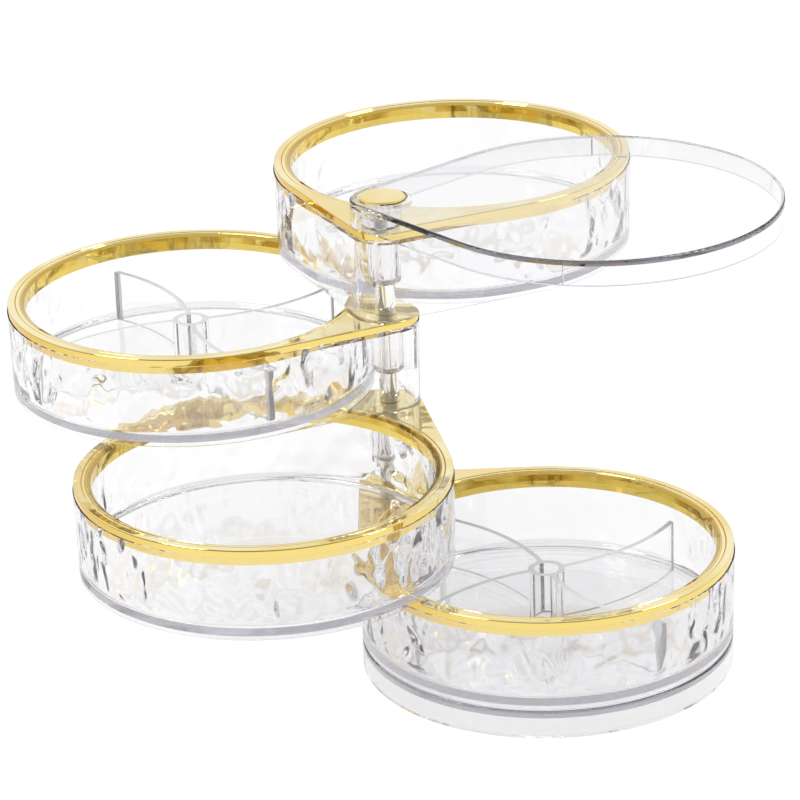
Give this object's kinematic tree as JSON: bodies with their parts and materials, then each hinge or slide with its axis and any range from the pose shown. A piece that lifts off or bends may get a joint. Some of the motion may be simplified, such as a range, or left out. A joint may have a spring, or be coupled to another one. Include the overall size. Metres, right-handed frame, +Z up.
{
  "type": "rotating jewelry organizer",
  "caption": "Clear round trays with gold-coloured rims that swing out round one steel shaft, under a clear swing lid.",
  "frame": {"origin": "on the table, under the middle of the fanned-out outline; the shaft's axis stands close by, at the joints' pos_m", "axes": "+Z up along the shaft, +Y away from the viewer of the picture, +X to the viewer's right"},
  "size_m": [0.2647, 0.2518, 0.1477],
  "materials": {
    "clear": "clear moulded plastic, polished outside and rippled inside the cups",
    "plating": "bright gold-coloured plating on moulded plastic",
    "steel": "ground steel, bright"
  },
  "bodies": {
    "stand": {"base": "clear", "shaft": "steel", "bottom_screw": "steel", "bottom_washer": "steel", "spacer_1": "steel", "spacer_2": "steel", "spacer_3": "steel", "spring_washer": "steel", "cap": "plating"},
    "tier_1": {"tray_1": "clear", "trim_1": "plating"},
    "tier_2": {"tray_2": "clear", "trim_2": "plating"},
    "tier_3": {"tray_3": "clear", "trim_3": "plating"},
    "tier_4": {"tray_4": "clear", "trim_4": "plating"},
    "cover": {"lid": "clear"},
    "insert_2": {"divider_2": "clear"},
    "insert_4": {"divider_4": "clear"}
  },
  "joints": [
    {"name": "tier_1_swing", "type": "hinge", "parent": "stand", "child": "tier_1", "pos_m": [-0.00208, -0.00452, 0.12165], "axis": [0, 0, 1], "continuous": true},
    {"name": "tier_2_swing", "type": "hinge", "parent": "stand", "child": "tier_2", "pos_m": [-0.00208, -0.00452, 0.08965], "axis": [0, 0, 1], "continuous": true},
    {"name": "tier_3_swing", "type": "hinge", "parent": "stand", "child": "tier_3", "pos_m": [-0.00208, -0.00452, 0.05765], "axis": [0, 0, 1], "continuous": true},
    {"name": "tier_4_swing", "type": "hinge", "parent": "stand", "child": "tier_4", "pos_m": [-0.00208, -0.00452, 0.02565], "axis": [0, 0, 1], "continuous": true},
    {"name": "lid_swing", "type": "hinge", "parent": "stand", "child": "cover", "pos_m": [-0.00208, -0.00452, 0.14215], "axis": [0, 0, 1], "continuous": true},
    {"name": "divider_2_lift", "type": "slide", "parent": "tier_2", "child": "insert_2", "axis": [0, 0, 1], "range_m": [0, 0.0095]},
    {"name": "divider_4_lift", "type": "slide", "parent": "tier_4", "child": "insert_4", "axis": [0, 0, 1], "range_m": [0, 0.0095]}
  ]
}
